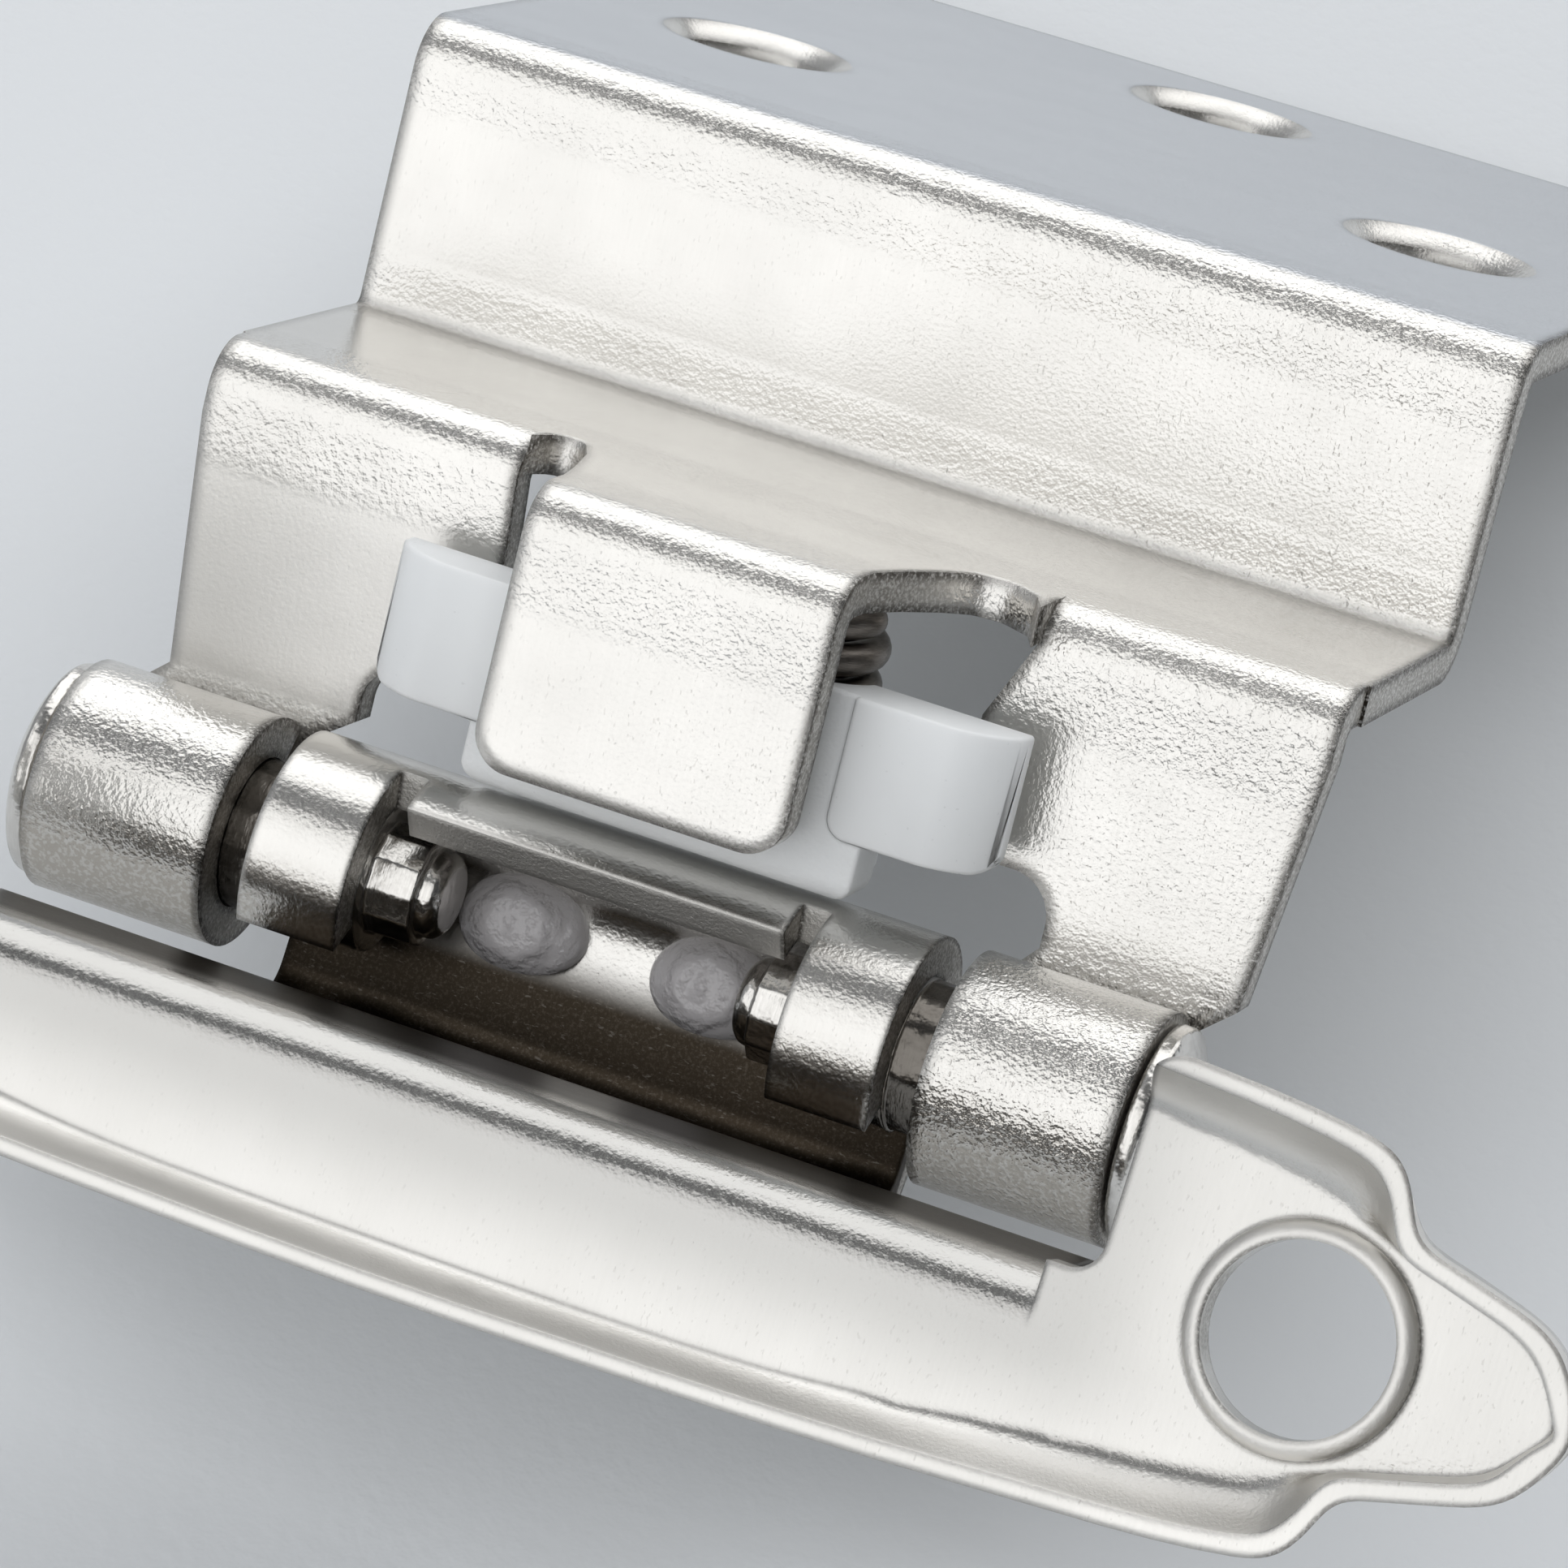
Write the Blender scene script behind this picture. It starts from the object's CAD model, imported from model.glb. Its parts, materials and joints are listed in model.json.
import json
import bpy
import bmesh
import numpy as np
from mathutils import Matrix, Vector


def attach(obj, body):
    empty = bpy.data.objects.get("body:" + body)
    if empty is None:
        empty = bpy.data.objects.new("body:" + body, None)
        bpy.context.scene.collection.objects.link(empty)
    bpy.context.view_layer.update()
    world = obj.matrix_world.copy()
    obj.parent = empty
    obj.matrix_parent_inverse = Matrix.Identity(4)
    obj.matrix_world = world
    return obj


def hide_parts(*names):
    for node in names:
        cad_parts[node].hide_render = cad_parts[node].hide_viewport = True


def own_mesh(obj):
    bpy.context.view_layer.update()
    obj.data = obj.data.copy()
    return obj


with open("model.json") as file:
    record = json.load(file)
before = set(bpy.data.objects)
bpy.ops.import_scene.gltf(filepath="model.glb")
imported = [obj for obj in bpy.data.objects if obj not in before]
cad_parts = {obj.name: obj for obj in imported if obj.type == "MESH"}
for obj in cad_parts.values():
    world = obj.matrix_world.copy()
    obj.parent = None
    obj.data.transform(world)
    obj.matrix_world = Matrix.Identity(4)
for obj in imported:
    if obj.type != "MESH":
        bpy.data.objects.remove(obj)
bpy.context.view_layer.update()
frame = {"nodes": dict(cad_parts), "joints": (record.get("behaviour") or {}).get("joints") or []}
mm = 0.001
swing = [joint for joint in frame["joints"] if joint["name"] == "leaf_swing"][0]
pinAxis = np.array(swing["pos_m"])  # every piece and pattern below is placed from the hinge's pin axis


class Wire:  # one socket of a node tree that takes part in Python sums
    def __init__(self, paint, socket):
        self.paint, self.socket = paint, socket

    def sum(self, kind, *terms):  # a Math node of this kind on these terms
        return self.paint.node("ShaderNodeMath", {"operation": kind}, dict(enumerate(terms)))

    def __add__(self, other): return self.sum("ADD", self, other)
    def __radd__(self, other): return self.sum("ADD", other, self)
    def __sub__(self, other): return self.sum("SUBTRACT", self, other)
    def __rsub__(self, other): return self.sum("SUBTRACT", other, self)
    def __mul__(self, other): return self.sum("MULTIPLY", self, other)
    def __rmul__(self, other): return self.sum("MULTIPLY", other, self)
    def __pow__(self, other): return self.sum("POWER", self, other)
    def most(self, other): return self.sum("MAXIMUM", self, other)
    def size(self): return self.sum("ABSOLUTE", self)


class Paint:  # a node tree, the one way nodes are added to it, and millimetres measured from the pin axis
    def __init__(self, name, turn=0.0, tree=None):
        if tree is None:
            self.material = bpy.data.materials.new(name)
            self.material.use_nodes = True
            tree = self.material.node_tree
        self.tree, self.turn = tree, turn
        tree.nodes.clear()
        here = self.node("ShaderNodeTexCoord", {}, {}, "Object")
        centred = self.node("ShaderNodeVectorMath", {"operation": "SUBTRACT"}, {0: here, 1: tuple(pinAxis)})
        self.place = self.node("ShaderNodeMapping", {}, {
            "Vector": centred, "Rotation": (turn, 0, 0), "Scale": (1 / mm,) * 3})

    def node(self, kind, settings, inputs, out=0):  # settings first, then each socket's value or link
        made = self.tree.nodes.new(kind)
        for key, value in settings.items():
            setattr(made, key, value)
        for key, value in inputs.items():
            if isinstance(value, Wire):
                self.tree.links.new(value.socket, made.inputs[key])
            else:
                made.inputs[key].default_value = value
        return Wire(self, made.outputs[out]) if len(made.outputs) else made

    def noise(self, grain, detail=2.0, rough=0.5, stretch=(1, 1, 1)):  # soft noise, its grains this many mm wide
        at = self.node("ShaderNodeMapping", {}, {"Vector": self.place, "Scale": stretch})
        return self.node("ShaderNodeTexNoise", {}, {
            "Vector": at, "Scale": 1 / grain, "Detail": detail, "Roughness": rough})

    def step(self, value, low, high):  # smooth step, 0 at low and 1 at high
        return self.node("ShaderNodeMapRange", {"interpolation_type": "SMOOTHSTEP"}, {
            "Value": value, "From Min": low, "From Max": high})

    def axes(self):  # x, y and z in millimetres
        return [self.node("ShaderNodeSeparateXYZ", {}, {0: self.place}, axis) for axis in "XYZ"]

    def facing(self):  # the surface's own direction, split into x, y and z
        outward = self.node("ShaderNodeTexCoord", {}, {}, "Normal")
        turned = self.node("ShaderNodeMapping", {"vector_type": "NORMAL"}, {
            "Vector": outward, "Rotation": (self.turn, 0, 0)})
        return [self.node("ShaderNodeSeparateXYZ", {}, {0: turned}, axis) for axis in "XYZ"]

    def mix(self, share, a, b):  # from colour a to colour b
        return self.node("ShaderNodeMix", {"data_type": "RGBA"}, {0: share, 6: a, 7: b}, 2)

    def bump(self, height, depth, before=None):  # a height of 0 to 1 stands depth millimetres tall
        inputs = {"Height": height, "Distance": depth * mm}
        if before is not None:
            inputs["Normal"] = before
        return self.node("ShaderNodeBump", {}, inputs)

    def reach(self, first, second, centre):  # root of the squares' sum: distance from a line square to both axes
        return ((first - centre[0]) ** 2.0 + (second - centre[1]) ** 2.0) ** 0.5

    def near(self, first, second, centre, inner, outer):  # 1 within inner of such a line, 0 beyond outer
        return 1.0 - self.step(self.reach(first, second, centre), inner, outer)

    def shade(self, sockets):  # a Principled shader with these sockets, led to the output
        shader = self.node("ShaderNodeBsdfPrincipled", {}, sockets)
        self.node("ShaderNodeOutputMaterial", {}, {"Surface": shader})
        return self.material


def darker(tone, share):  # a colour times a share
    return [v * share for v in tone[:3]] + [1]


def addPiece(name, data):  # a new object at the origin
    piece = bpy.data.objects.new(name, data)
    bpy.context.collection.objects.link(piece)
    return piece


def gridMesh(name, points):  # rows by columns of points; each four-sided face joins two neighbours of two rows
    rows, columns = points.shape[:2]
    r, c = np.meshgrid(np.arange(rows - 1), np.arange(columns - 1), indexing="ij")
    first = r * columns + c
    faces = np.stack([first, first + columns, first + columns + 1, first + 1], -1)
    mesh = bpy.data.meshes.new(name)
    mesh.from_pydata(points.reshape(-1, 3), [], faces.reshape(-1, 4))
    mesh.polygons.foreach_set("use_smooth", np.full(len(mesh.polygons), True))
    mesh.update()
    return addPiece(name, mesh)


# lengths in metres and angles in degrees; an edge that folds by more than sharp is a real edge of the piece
merging = dict(doubles=2e-6, flat=0.4, sharp=28.0, evenness=80)


def softCopy(node, name, width=0.0, segments=4):
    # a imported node's shape with doubles merged and flats joined; with a width its sharp edges are rounded in the
    # mesh, without one they stay for the material to round and the normals follow the largest faces
    shape = bmesh.new()
    shape.from_mesh(frame["nodes"][node].data)
    bmesh.ops.remove_doubles(shape, verts=shape.verts, dist=merging["doubles"])
    bmesh.ops.dissolve_limit(shape, angle_limit=np.radians(merging["flat"]), verts=shape.verts, edges=shape.edges)
    if width:
        weights = shape.edges.layers.float.new("bevel_weight_edge")
    else:
        bmesh.ops.connect_verts_concave(shape, faces=shape.faces)
    for edge in shape.edges:
        crease = len(edge.link_faces) == 2 and edge.calc_face_angle() > np.radians(merging["sharp"])
        edge.smooth = bool(width) or not crease
        if width:
            edge[weights] = float(crease)
    for face in shape.faces:
        face.smooth = True
    mesh = bpy.data.meshes.new(name)
    shape.to_mesh(mesh)
    shape.free()
    piece = addPiece(name, mesh)
    if width:
        soft = piece.modifiers.new("soft edges", "BEVEL")
        soft.width, soft.segments, soft.limit_method, soft.harden_normals = width, segments, "WEIGHT", True
        soft.use_clamp_overlap = False
    else:
        even = piece.modifiers.new("even flats", "WEIGHTED_NORMAL")
        even.weight, even.keep_sharp = merging["evenness"], True
    return piece


def finish(piece, material, body=None, node=None):  # one material, and the body and node of a new piece
    piece.data.materials.clear()
    piece.data.materials.append(material)
    if body:
        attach(piece, body)
        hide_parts(node)


def lookAt(thing, eye, right, down, ahead):  # a camera or lamp at eye, its axes right, minus down and minus ahead
    turn = Matrix((right, [-v for v in down], [-v for v in ahead])).transposed()
    thing.matrix_world = Matrix.Translation(Vector(eye)) @ turn.to_4x4()


print("camera, floor and lamps")
# eye in metres from the pin axis, lens in millimetres
shot = dict(eye=(0.0602878, -0.1917838, 0.0550118), lens=181.935, filmWide=36.0, nearest=0.01, farthest=20.0,
            right=(0.9128431, 0.3340793, 0.2347519), down=(0.2980794, -0.152333, -0.9423074),
            ahead=(-0.279045, 0.9301536, -0.2386384))
# the floor's own up and ahead, how far it lies from the pin axis in metres, its grains in mm, and the sky's light:
# brighter to the left than to the right, darker overhead
room = dict(up=(0, -0.575, 0.818), ahead=(0, 0.818, 0.575), drop=-0.0098, half=1.5,
            floorTone=(0.80, 0.825, 0.85, 1), floorCloud=110.0, cloudShare=0.985, floorGrain=0.45, grainTall=0.03,
            skyTone=(0.93, 0.96, 1.0, 1), glowLeft=0.36, glowRight=0.06, glowFall=(-0.15, 0.75),
            zenith=0.35, zenithFrom=(0.8, 0.95), backdrop=(0.70, 0.72, 0.74, 1))
lamps = {  # height above the horizon behind, turn to the left, distance, width, height and watts of each soft lamp
    "behind": dict(rise=40, left=-5, far=0.60, wide=1.05, tall=0.72, watts=3.2),
    "front": dict(rise=135, left=8, far=0.60, wide=1.05, tall=0.87, watts=3.1),
}
camera = addPiece("camera", bpy.data.cameras.new("camera"))
camera.data.lens, camera.data.sensor_width = shot["lens"], shot["filmWide"]
camera.data.clip_start, camera.data.clip_end = shot["nearest"], shot["farthest"]
lookAt(camera, pinAxis + shot["eye"], shot["right"], shot["down"], shot["ahead"])
bpy.context.scene.camera = camera
bpy.context.scene.view_settings.view_transform = "Standard"

up, ahead, across = Vector(room["up"]), Vector(room["ahead"]), Vector((1, 0, 0))
for name, lamp in lamps.items():
    rise, left = np.radians(lamp["rise"]), np.radians(lamp["left"])
    towards = (np.cos(rise) * np.cos(left) * np.array(ahead) + np.sin(rise) * np.array(up)
               - abs(np.cos(rise)) * np.sin(left) * np.array(across))
    towards = Vector(towards).normalized()
    side = (across - towards * across.dot(towards)).normalized()
    data = bpy.data.lights.new(name, "AREA")
    data.shape, data.size, data.size_y, data.energy = "RECTANGLE", lamp["wide"], lamp["tall"], lamp["watts"]
    thing = addPiece(name, data)
    thing.visible_camera = False
    lookAt(thing, Vector(pinAxis) + towards * lamp["far"], side, -(towards.cross(side)), -towards)


def floorCard():  # pale card with faint clouds and a fine grain; clear from below, so that a low view sees the hinge
    paint = Paint("floor card")
    colour = paint.mix(paint.noise(room["floorCloud"], 1.0), room["floorTone"],
                       darker(room["floorTone"], room["cloudShare"]))
    grain = paint.bump(paint.noise(room["floorGrain"], 2.0), room["grainTall"])
    card = paint.node("ShaderNodeBsdfDiffuse", {}, {"Color": colour, "Normal": grain})
    clear = paint.node("ShaderNodeBsdfTransparent", {}, {})
    below = paint.node("ShaderNodeNewGeometry", {}, {}, "Backfacing")
    seen = paint.node("ShaderNodeMixShader", {}, {0: below, 1: card, 2: clear})
    paint.node("ShaderNodeOutputMaterial", {}, {"Surface": seen})
    return paint.material


def studioSky(tree):
    # light that falls off towards the right and overhead; the camera and clear things see an even backdrop instead
    sky = Paint("studio", tree=tree)
    rays = [sky.node("ShaderNodeLightPath", {}, {}, kind) for kind in ("Is Camera Ray", "Is Transmission Ray")]
    heading = sky.node("ShaderNodeTexCoord", {}, {}, "Generated")
    eastward = sky.node("ShaderNodeSeparateXYZ", {}, {0: heading}, "X")
    upward = sky.node("ShaderNodeVectorMath", {"operation": "DOT_PRODUCT"}, {0: heading, 1: room["up"]}, "Value")
    fall = sky.step(eastward, *room["glowFall"])
    shaded = 1.0 - (1.0 - room["zenith"]) * sky.step(upward, *room["zenithFrom"])
    glow = (room["glowLeft"] + (room["glowRight"] - room["glowLeft"]) * fall) * shaded
    dim = sky.node("ShaderNodeBackground", {}, {"Color": room["skyTone"], "Strength": glow})
    pale = sky.node("ShaderNodeBackground", {}, {"Color": room["backdrop"], "Strength": 1.0})
    seen = sky.node("ShaderNodeMixShader", {}, {0: rays[0].most(rays[1]), 1: dim, 2: pale})
    sky.node("ShaderNodeOutputWorld", {}, {"Surface": seen})


spread = np.linspace(-room["half"], room["half"], 2)
u, v = np.meshgrid(spread, spread, indexing="ij")
floor = gridMesh("floor", pinAxis + u[..., None] * np.array(across) + v[..., None] * np.array(ahead)
                 + np.array(up) * room["drop"])
finish(floor, floorCard())
world = bpy.data.worlds.new("studio")
bpy.context.scene.world = world
world.use_nodes = True
studioSky(world.node_tree)

print("satin nickel")
restTurn = np.radians(12.0)  # how far past square the leaf stands at rest
satin = dict(light=(0.75, 0.735, 0.705, 1), dark=(0.61, 0.595, 0.565, 1), cut=(0.34, 0.32, 0.29, 1),
             stain=(0.030, 0.024, 0.017, 1), stainPale=(0.045, 0.034, 0.024, 1), fleck=(0.14, 0.12, 0.10, 1),
             under=(0.46, 0.43, 0.385, 1), shade=(0.42, 0.415, 0.40, 1), plate=(0.55, 0.575, 0.615, 1),
             rough=0.20, roughSpread=0.10, rightward=(-8.0, 15.0), knuckle=((0.0, 0.0), 3.3, 3.6))
grains = dict(cloud=3.8, peel=0.12, coarse=0.27, strokes=0.10, specks=0.075, torn=0.11, smear=2.6, hair=0.09)
heights = dict(strokes=0.009, specks=-0.004, peel=0.026, coarse=0.022, torn=0.05)  # both in millimetres
# a bend is its centre line in y and z with an inner and an outer reach; a pair is where a tone starts and is full
wingSheet = dict(turn=0.0, grain=1.0, edge=0.62, plateTop=(18.0, 18.5), legLeft=(6.0, 9.0), legFront=(1.5, 2.0),
                 legTop=(7.5, 10.0), bends=[((13.55, 18.95), 1.55, 2.0), ((11.3, 12.9), 0.9, 1.3),
                                            ((4.0, 10.2), 2.0, 2.5), ((-1.2, 10.2), 2.0, 2.5),
                                            ((0.0, 0.0), 3.6, 4.0)])
leafSheet = dict(turn=restTurn, grain=0.4, edge=0.30, bends=[((-9.6, -4.6), 1.3, 1.9), ((0.0, 0.0), 3.6, 4.0)],
                 slopeAt=3.95, slope=0.071, slopeFrom=10.05, throatLift=(0.0, 0.35), throatBack=(2.5, 2.75),
                 throatFront=(-9.4, -7.8), throatDepth=(0.3, 1.7), finger=(3.3, 3.5), fingerY=(1.5, 1.9),
                 stripFace=(-0.643, -0.766), stripLift=(0.8, 1.2), rimFrom=(10.75, 11.0), rimTo=(11.95, 12.05),
                 panelFrom=(8.6, 9.6), panel=0.8, lowerFrom=(4.8, 7.8), lower=0.75, tongueFrom=(16.0, 20.0),
                 tongue=0.6)


def wingOnly(paint, sheet, colour, rough, ends, peel, torn):
    # the wing's own tones: a bluer mounting plate, a duller left leg, and shade mottled by the peel below the
    # knuckles
    x, y, z = paint.axes()
    nz = paint.facing()[2]
    leg = paint.step(0.0 - x, *sheet["legLeft"]) * paint.step(y, *sheet["legFront"]) * (
        1.0 - paint.step(z, *sheet["legTop"]))
    top = paint.step(nz, 0.90, 0.99) * paint.step(z, *sheet["plateTop"])
    colour = paint.mix(top * 0.8, colour, satin["plate"])
    low = paint.near(y, z, *satin["knuckle"]) * paint.step(0.0 - nz, -0.25, 0.5)
    colour = paint.mix(low * (0.55 + 0.9 * paint.step(peel, 0.65, 0.35)), colour, satin["under"])
    return colour, rough + 0.16 * leg, ends, 1.0


def leafOnly(paint, sheet, colour, rough, ends, peel, torn):
    # the leaf's own tones: a dark stain inside the throat, deeper with depth and broken by flecks and hairs, mottled
    # shade below the fingers, shade on the panel that fades downwards and towards the tongues, and a pale rough
    # rim wall and strip
    x, y, z = paint.axes()
    nx, ny, nz = paint.facing()
    level = z + sheet["slopeAt"] + sheet["slope"] * (y + sheet["slopeFrom"])
    inside = paint.step(level, *sheet["throatLift"]) * (1.0 - paint.step(y, *sheet["throatBack"])) * paint.step(
        y, *sheet["throatFront"])
    finger = paint.near(y, z, (0.0, 0.0), *sheet["finger"]) * (1.0 - paint.step(y, *sheet["fingerY"]))
    deep = inside * paint.step(0.0 - z, *sheet["throatDepth"]) * (1.0 - finger)
    smear = paint.noise(grains["smear"], 4.0, 0.65, stretch=(0.5, 1, 1))
    hair = paint.step(paint.noise(grains["hair"], 2.0, 0.6, stretch=(0.35, 1, 1)), 0.62, 0.74)
    stain = paint.mix(smear + 0.2 * paint.step(x, -4.0, 8.0) - 0.25, satin["stain"], satin["stainPale"])
    stain = paint.mix(paint.step(torn, 0.45, 0.75) * 0.3, stain, satin["fleck"])
    colour = paint.mix(deep, colour, paint.mix(hair * 0.2, stain, satin["cut"]))
    low = finger * paint.step(0.0 - nz, -0.1, 0.6)
    colour = paint.mix(low * (0.3 + 0.6 * paint.step(peel, 0.65, 0.35)), colour, satin["under"])
    wall = paint.step(0.0 - y, *sheet["rimFrom"]) * (1.0 - paint.step(0.0 - y, *sheet["rimTo"]))
    slant = ny * sheet["stripFace"][0] + nz * sheet["stripFace"][1]
    strip = paint.step(slant, 0.7, 0.9) * paint.step(z, *sheet["stripLift"]) * paint.near(y, z, *satin["knuckle"])
    shade = paint.step(0.0 - y, *sheet["panelFrom"]) * (
        1.0 - sheet["lower"] * paint.step(0.0 - z, *sheet["lowerFrom"])) * (
        1.0 - sheet["tongue"] * paint.step(x.size(), *sheet["tongueFrom"]))
    colour = paint.mix(shade * (1.0 - wall) * sheet["panel"], colour, satin["shade"])
    colour = paint.mix(wall.most(strip), colour, satin["light"])
    rough = rough + 0.12 * deep * smear + 0.22 * wall + 0.35 * strip
    return colour, rough, ends.most(strip), 1.0 - 0.85 * deep


def roundedEdges(paint, sheet, colour, torn):
    # sharp edges are rounded in the shading; stain gathers where the rounded normal leaves the face's own, which is
    # measured by their dot product, and most on edges that turn to the right
    edges = paint.node("ShaderNodeBevel", {"samples": 6}, {"Radius": sheet["edge"] * mm})
    flat = paint.node("ShaderNodeNewGeometry", {}, {}, "Normal")
    same = paint.node("ShaderNodeVectorMath", {"operation": "DOT_PRODUCT"}, {0: edges, 1: flat}, "Value")
    tilt = paint.node("ShaderNodeSeparateXYZ", {}, {0: edges}, "X")
    rounded = (1.0 - paint.step(same, 0.89, 0.99)) * (0.16 + 0.84 * paint.step(tilt, 0.12, 0.42))
    return paint.mix(rounded * paint.step(torn, 0.25, 0.55), colour, satin["stain"]), edges


def nickel(name, sheet, ownTones):
    # satin plating: from light to dark by soft clouds and fine upright strokes, with specks, and broken metal on the
    # sheet's cut ends, which face left or right; then the sheet's own tones, its edges, and the sum of the reliefs,
    # with orange peel on the bends and knuckles
    paint = Paint(name, sheet["turn"])
    x, y, z = paint.axes()
    bent = paint.near(y, z, *sheet["bends"][0])
    for bend in sheet["bends"][1:]:
        bent = bent.most(paint.near(y, z, *bend))
    rightward = paint.step(x, *satin["rightward"]) * sheet["grain"]
    brushed = 0.25 + 0.75 * rightward
    cloud = paint.noise(grains["cloud"], 3.0, 0.6)
    peel = paint.noise(grains["peel"], 1.5, 0.5)
    coarse = paint.noise(grains["coarse"], 1.0, 0.5)
    strokes = paint.noise(grains["strokes"], 3.0, 0.65, stretch=(1, 1, 0.08))
    specks = paint.step(paint.noise(grains["specks"], 1.0, 0.5, stretch=(1, 1, 0.4)), 0.66, 0.76)
    torn = paint.noise(grains["torn"], 3.0, 0.7)
    ends = paint.step(paint.facing()[0].size(), 0.80, 0.95)
    colour = paint.mix(cloud * 0.7 + 0.9 * ((strokes - 0.5) * brushed), satin["light"], satin["dark"])
    colour = paint.mix(specks * (0.12 + 0.4 * rightward), colour, satin["cut"])
    colour = paint.mix(ends * paint.step(torn, 0.35, 0.6), colour, satin["cut"])
    rough = satin["rough"] + satin["roughSpread"] * cloud + 0.12 * ends
    colour, rough, ends, calm = ownTones(paint, sheet, colour, rough, ends, peel, torn)
    colour, normal = roundedEdges(paint, sheet, colour, torn)
    reliefs = dict(strokes=strokes * brushed, specks=specks * (0.3 + 0.7 * rightward),
                   peel=peel * (0.2 * sheet["grain"] + 0.6 * rightward + 0.8 * bent * sheet["grain"]),
                   coarse=coarse * bent * sheet["grain"], torn=torn * ends)
    for kind, relief in reliefs.items():
        normal = paint.bump(relief * calm, heights[kind], normal)
    return paint.shade({"Base Color": colour, "Metallic": 1.0, "Roughness": rough, "Normal": normal})


wing = softCopy("wing_leaf", "wing_leaf_shell")
finish(wing, nickel("satin nickel wing", wingSheet, wingOnly), "wing", "wing_leaf")
leaf = softCopy("face_leaf", "face_leaf_shell")
finish(leaf, nickel("satin nickel leaf", leafSheet, leafOnly), "leaf", "face_leaf")

print("pins")
# middle is halfway between the pins, and the running gap lies gapIn to gapOut from it, all in millimetres
pinTones = dict(light=(0.78, 0.765, 0.735, 1), dark=(0.50, 0.48, 0.45, 1), oil=(0.07, 0.058, 0.045, 1),
                middle=-1.1, gapIn=(8.7, 8.9), gapOut=(10.3, 10.5), rings=0.22, ringTall=0.006, dents=0.34,
                dentTall=0.035, edge=0.10)


def pinNickel():  # bright turned steel with rings round the axis and shallow dents, dark with oil in the running gap
    paint = Paint("bright nickel pin")
    rings = paint.noise(pinTones["rings"], 3.0, 0.6, stretch=(4.0, 0.4, 0.4))
    dents = paint.noise(pinTones["dents"], 2.0)
    along = (paint.axes()[0] - pinTones["middle"]).size()
    gap = paint.step(along, *pinTones["gapIn"]) * (1.0 - paint.step(along, *pinTones["gapOut"]))
    colour = paint.mix(rings * 0.8, pinTones["light"], pinTones["dark"])
    colour = paint.mix(gap * 0.85, colour, pinTones["oil"])
    normal = paint.bump(dents, pinTones["dentTall"], paint.bump(rings, pinTones["ringTall"]))
    return paint.shade({"Base Color": colour, "Metallic": 1.0, "Roughness": 0.14 + 0.16 * dents, "Normal": normal})


pinPaint = pinNickel()
for node in ("pin_left", "pin_right"):
    pin = softCopy(node, node + "_shell", pinTones["edge"] * mm, segments=2)
    finish(pin, pinPaint, "leaf", node)

print("springs")
# height of both ends, radius of the wire and of the turns, each spring's middle and the row's depth, in millimetres
coil = dict(low=4.95, high=10.95, wire=0.46, reach=1.64, middles=(-2.4, 2.1), back=1.45, turns=5.0, around=20,
            perTurn=72, pointed=4, travel=0.4, light=(0.30, 0.275, 0.25, 1), dark=(0.09, 0.078, 0.066, 1),
            streak=0.12, streakTall=0.012, spots=0.5, doubles=1e-6)


def springWire():  # dark drawn wire with streaks round each turn
    paint = Paint("dark spring wire")
    streak = paint.noise(coil["streak"], 3.0, 0.65, stretch=(0.4, 0.4, 3.0))
    spots = paint.noise(coil["spots"], 2.0)
    colour = paint.mix(streak, coil["dark"], coil["light"])
    return paint.shade({"Base Color": colour, "Metallic": 1.0, "Roughness": 0.22 + 0.2 * spots,
                        "Normal": paint.bump(streak, coil["streakTall"])})


def springPiece(name, middle):
    # a helix of radius reach that climbs from low to high; the wire is a circle square to it, drawn in to
    # a rounded point at both ends
    steps = int(coil["turns"] * coil["perTurn"])
    t = np.linspace(0, 1, steps + 1)[:, None]
    a = 2 * np.pi * np.linspace(0, 1, coil["around"] + 1)[None, :]
    turn = 2 * np.pi * coil["turns"] * t
    first, last = coil["low"] + coil["wire"], coil["high"] - coil["wire"]
    ends = np.minimum(t, 1 - t) * steps
    wire = coil["wire"] * np.sqrt(np.clip(1 - (1 - np.minimum(ends / coil["pointed"], 1)) ** 2, 0, 1))
    out = coil["reach"] + wire * np.cos(a)
    points = np.stack([middle + out * np.cos(turn), coil["back"] + out * np.sin(turn),
                       first + (last - first) * t + wire * np.sin(a)], -1)
    piece = gridMesh(name, pinAxis + points * mm)
    shape = bmesh.new()
    shape.from_mesh(piece.data)
    bmesh.ops.remove_doubles(shape, verts=shape.verts, dist=coil["doubles"])
    bmesh.ops.recalc_face_normals(shape, faces=shape.faces)
    shape.to_mesh(piece.data)
    shape.free()
    return piece


wirePaint = springWire()
for node, middle in zip(("spring_left", "spring_right"), coil["middles"]):
    spring = springPiece(node + "_coil", middle)
    finish(spring, wirePaint, "wing", node)
    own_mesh(spring)

print("nylon")
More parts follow.
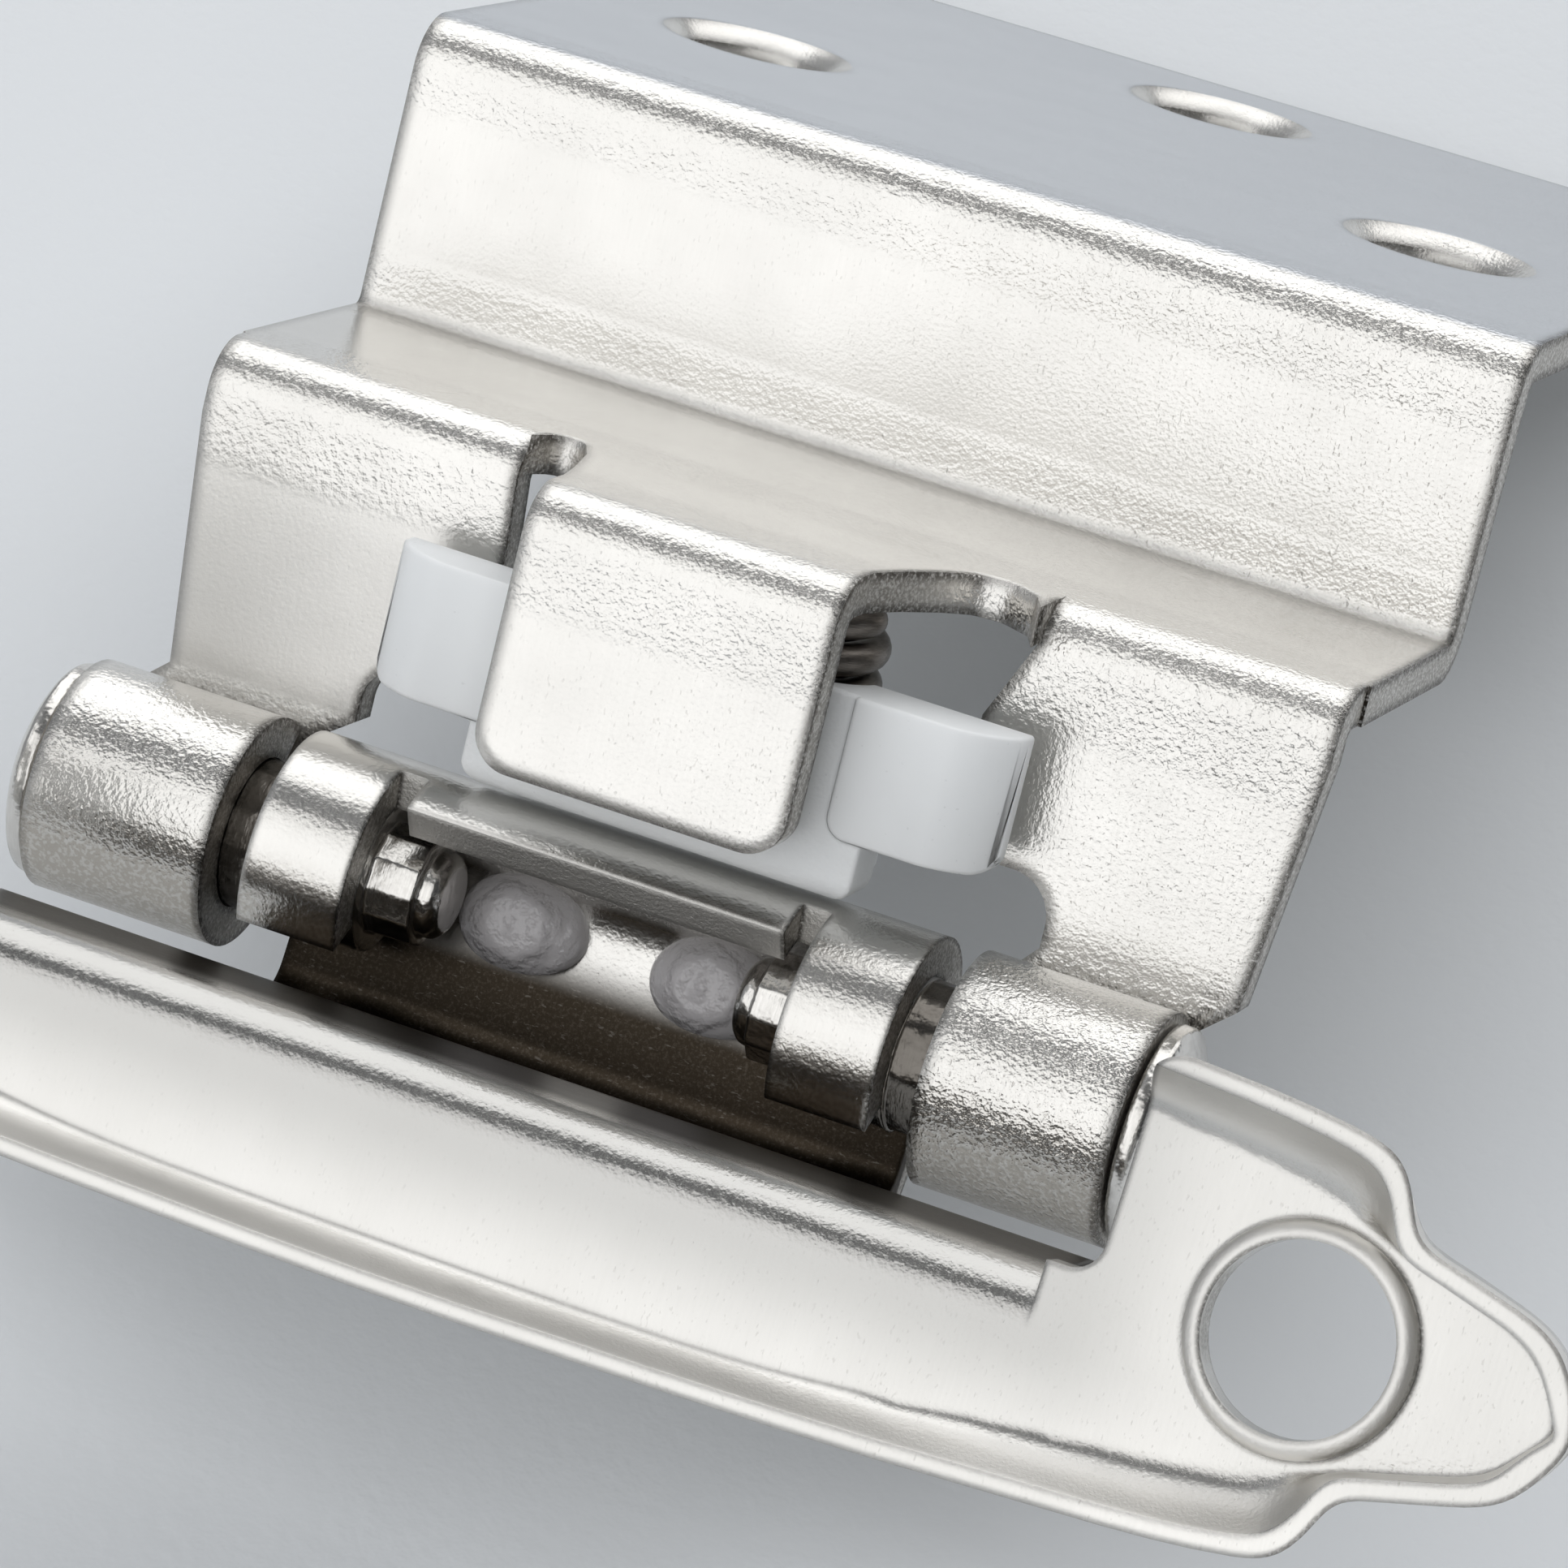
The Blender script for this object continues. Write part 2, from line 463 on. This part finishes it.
# the slider is grained below grainTop and beyond grainSide of its middle; the buttons' middles are in x and z
nylonTones = dict(slider=(0.90, 0.92, 0.93, 1), button=(0.66, 0.64, 0.65, 1), edge=0.13, grainTop=(4.7, 5.6),
                  middle=-0.15, grainSide=(4.3, 4.55), cloud=3.5, skin=0.13, skinTall=0.022, specks=0.16,
                  buttons=[(-3.9, -0.2), (1.7, -0.2)], buttonReach=(1.5, 2.2), folds=0.55, ringTall=0.05)


def nylonBase(name, tone, turn):  # a faintly clouded tone with small darker specks
    paint = Paint(name, turn)
    cloud = paint.noise(nylonTones["cloud"], 3.0, 0.6)
    specks = paint.step(paint.noise(nylonTones["specks"], 1.0, 0.4), 0.75, 0.80)
    colour = paint.mix(cloud * 0.8, tone, darker(tone, 0.92))
    return paint, paint.mix(specks * 0.2, colour, darker(tone, 0.5))


def nylonShade(paint, colour, rough, normal):  # light goes a little way into natural nylon
    return paint.shade({"Base Color": colour, "Roughness": rough, "Normal": normal, "Subsurface Weight": 0.35,
                        "Subsurface Radius": (1.0, 1.0, 1.0), "Subsurface Scale": 0.8 * mm, "IOR": 1.53})


def sliderNylon():  # a grained foot and smooth ears
    paint, colour = nylonBase("slider nylon", nylonTones["slider"], 0.0)
    x, y, z = paint.axes()
    aside = (x - nylonTones["middle"]).size()
    foot = (1.0 - paint.step(z, *nylonTones["grainTop"])).most(1.0 - paint.step(aside, *nylonTones["grainSide"]))
    skin = paint.noise(nylonTones["skin"], 2.0, 0.5)
    normal = paint.bump(skin * (0.12 + 0.88 * foot), nylonTones["skinTall"])
    return nylonShade(paint, colour, 0.40 + 0.12 * skin, normal)


def padNylon():  # the pegs' formed ends: the sine of the distance from each middle, put out of round by folds
    paint, colour = nylonBase("pad nylon", nylonTones["button"], restTurn)
    x, y, z = paint.axes()
    folds = paint.noise(nylonTones["folds"], 3.0, 0.6)
    normal = None
    for middle in nylonTones["buttons"]:
        apart = paint.reach(x, z, middle)
        ring = paint.node("ShaderNodeMath", {"operation": "SINE"}, {0: apart * 6.5 + folds * 5.0})
        normal = paint.bump(ring * (1.0 - paint.step(apart, *nylonTones["buttonReach"])), nylonTones["ringTall"],
                            normal)
    return nylonShade(paint, colour, 0.13 + 0.15 * folds, normal)


slider = softCopy("slider", "slider_shell", nylonTones["edge"] * mm)
finish(slider, sliderNylon(), "slide", "slider")
finish(frame["nodes"]["cam_pad"], padNylon())
